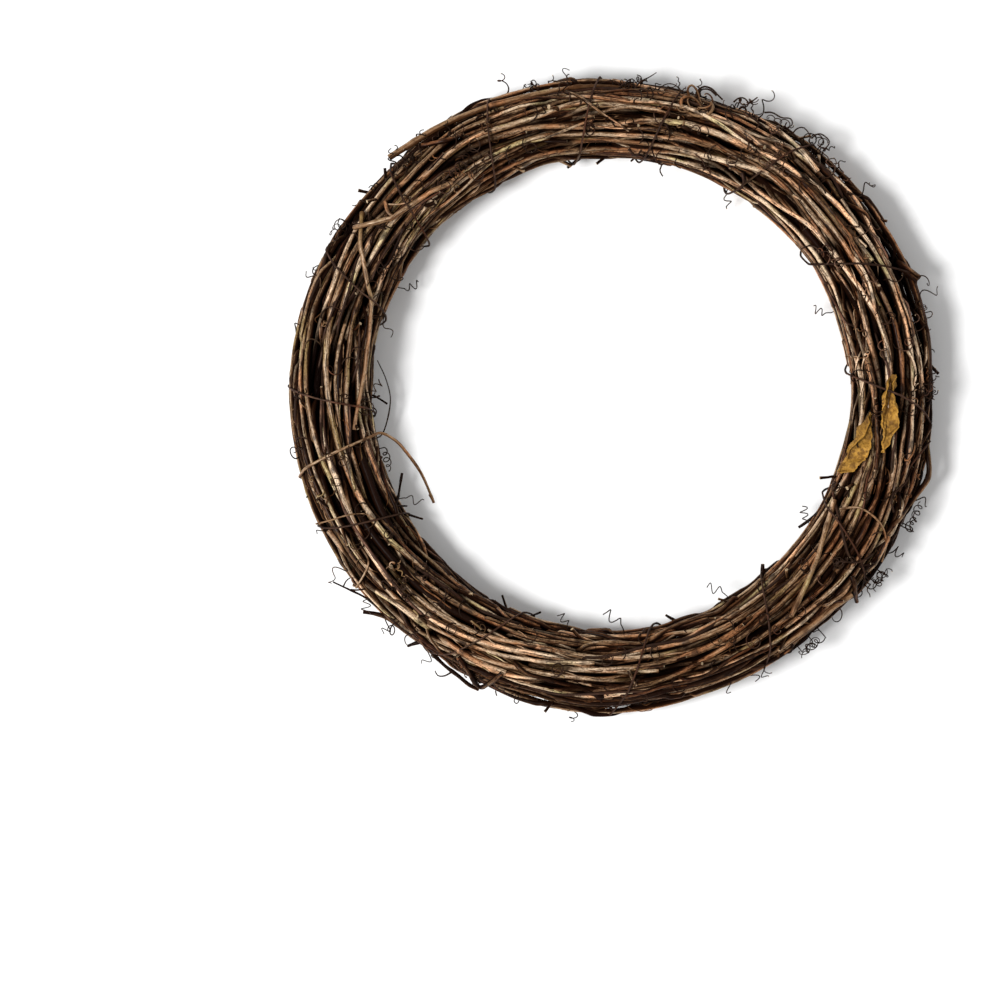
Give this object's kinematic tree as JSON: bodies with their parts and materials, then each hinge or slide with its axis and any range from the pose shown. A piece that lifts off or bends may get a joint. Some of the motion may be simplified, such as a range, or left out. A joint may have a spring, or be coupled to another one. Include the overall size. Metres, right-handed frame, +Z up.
{
  "type": "grapevine wreath",
  "caption": "Round wreath of grapevine canes wound into a flat ring and bound with thin vines, with tendrils, cut side shoots and dry leaves.",
  "frame": {"origin": "on the ring's own axis, at the height of the surface that the wreath lies on", "axes": "+Z up along the ring's axis, +Y towards the top of the picture, +X to its right"},
  "size_m": [0.3106, 0.309, 0.0464],
  "materials": {
    "cane_bark": "brown dried bark, satin",
    "pale_bark": "light tan dried bark, satin",
    "tie_bark": "dark purple-brown dried vine, matt",
    "dry_leaf": "dry golden-brown leaf, matt"
  },
  "bodies": {
    "root": {"bowed_cane_1": "cane_bark", "bowed_cane_2": "cane_bark", "bowed_cane_3": "cane_bark", "core_cane_01": "cane_bark", "core_cane_02": "cane_bark", "core_cane_03": "cane_bark", "crossing_stick_1": "pale_bark", "crossing_stick_2": "pale_bark", "crossing_stick_3": "pale_bark", "crossing_stick_4": "pale_bark", "free_vine": "pale_bark", "leaf_1": "dry_leaf", "leaf_2": "dry_leaf", "middle_cane_01": "cane_bark", "middle_cane_02": "cane_bark", "middle_cane_03": "cane_bark", "middle_cane_04": "cane_bark", "middle_cane_05": "cane_bark", "middle_cane_06": "cane_bark", "middle_cane_07": "cane_bark", "outer_cane_01": "cane_bark", "outer_cane_02": "cane_bark", "outer_cane_03": "cane_bark", "outer_cane_04": "cane_bark", "outer_cane_05": "cane_bark", "outer_cane_06": "cane_bark", "outer_cane_07": "cane_bark", "outer_cane_08": "cane_bark", "outer_cane_09": "cane_bark", "outer_cane_10": "cane_bark", "outer_cane_11": "cane_bark", "outer_cane_12": "cane_bark", "outer_cane_13": "cane_bark", "outer_cane_14": "cane_bark", "outer_cane_15": "cane_bark", "outer_cane_16": "cane_bark", "outer_cane_17": "cane_bark", "outer_cane_18": "cane_bark", "outer_cane_19": "cane_bark", "outer_cane_20": "cane_bark", "outer_cane_21": "cane_bark", "outer_cane_22": "cane_bark", "outer_cane_23": "cane_bark", "outer_cane_24": "cane_bark", "stick_cane": "pale_bark", "tie_01": "tie_bark", "tie_02": "tie_bark", "tie_03": "tie_bark", "tie_04": "tie_bark", "tie_05": "tie_bark", "tie_06": "tie_bark", "tie_07": "tie_bark", "tie_08": "tie_bark", "tie_09": "tie_bark", "tie_10": "tie_bark", "tie_11": "tie_bark", "tie_12": "tie_bark", "tie_13": "tie_bark", "tie_14": "tie_bark"}
  },
  "joints": []
}
